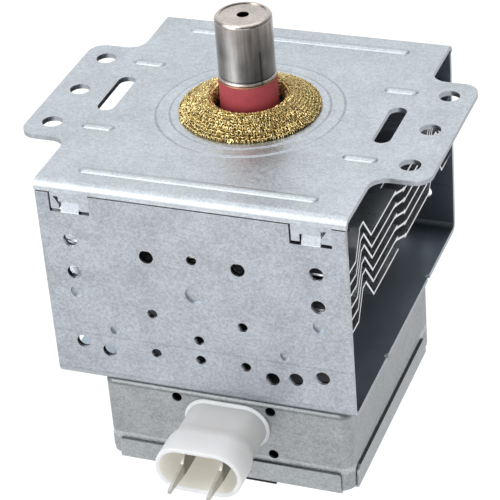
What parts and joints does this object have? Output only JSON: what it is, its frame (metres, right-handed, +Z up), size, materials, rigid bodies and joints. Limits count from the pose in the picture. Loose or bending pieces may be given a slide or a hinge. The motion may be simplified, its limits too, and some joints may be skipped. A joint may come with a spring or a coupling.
{
  "type": "magnetron",
  "caption": "Microwave-oven magnetron: folded steel yoke with mounting wings, capped antenna in a wire gasket, cooling fins inside and a filter box with a plug connector below.",
  "frame": {"origin": "on the antenna axis at the underside of the foot pad", "axes": "+Z up the antenna axis, -Y towards the plug connector, +X to the right seen from the connector"},
  "size_m": [0.112, 0.1225, 0.1145],
  "materials": {
    "galvanised_plate": "zinc-coated sheet, fine mottled spangle, satin",
    "galvanised_yoke": "zinc-coated sheet, fine mottled spangle, satin",
    "galvanised_box": "zinc-coated thin sheet, dull",
    "galvanised_cover": "zinc-coated thin sheet, dull",
    "gasket_brass": "knitted fine brass wire",
    "cap_steel": "drawn steel with lengthwise brushing",
    "copper": "bare copper",
    "output_ceramic": "matt pink alumina",
    "stem_ceramic": "matt white alumina",
    "seal_steel": "drawn steel",
    "ferrite": "dark sintered ferrite",
    "pole_iron": "plated soft iron",
    "cathode_metal": "grey refractory metal",
    "tinned_metal": "tinned strip",
    "fin_aluminium": "bright rolled sheet",
    "pad_rubber": "black, matt",
    "connector_plastic": "moulded, off-white",
    "capacitor_resin": "cast resin",
    "choke_copper": "enamelled copper wire"
  },
  "bodies": {
    "root": {"top_plate": "galvanised_plate", "lower_yoke": "galvanised_yoke", "rf_gasket": "gasket_brass", "antenna_cap": "cap_steel", "exhaust_tube": "copper", "antenna_rod": "copper", "output_ceramic": "output_ceramic", "output_seal": "seal_steel", "upper_magnet": "ferrite", "lower_magnet": "ferrite", "upper_pole_piece": "pole_iron", "lower_pole_piece": "pole_iron", "anode_cylinder": "copper", "anode_vanes": "copper", "strap_rings": "copper", "cathode_filament": "cathode_metal", "upper_end_shield": "cathode_metal", "lower_end_shield": "cathode_metal", "centre_lead": "cathode_metal", "side_lead": "cathode_metal", "stem_seal": "seal_steel", "stem_ceramic": "stem_ceramic", "stem_terminal_left": "tinned_metal", "stem_terminal_right": "tinned_metal", "cooling_fin_1": "fin_aluminium", "cooling_fin_2": "fin_aluminium", "cooling_fin_3": "fin_aluminium", "cooling_fin_4": "fin_aluminium", "cooling_fin_5": "fin_aluminium", "cooling_fin_6": "fin_aluminium", "filter_box": "galvanised_box", "filter_box_cover": "galvanised_cover", "foot_pad": "pad_rubber", "box_rivets": "seal_steel", "connector_housing": "connector_plastic", "terminal_left": "tinned_metal", "terminal_right": "tinned_metal", "capacitor_body": "capacitor_resin", "choke_coil_left": "choke_copper", "choke_coil_right": "choke_copper", "choke_core_left": "ferrite", "choke_core_right": "ferrite"}
  },
  "joints": []
}
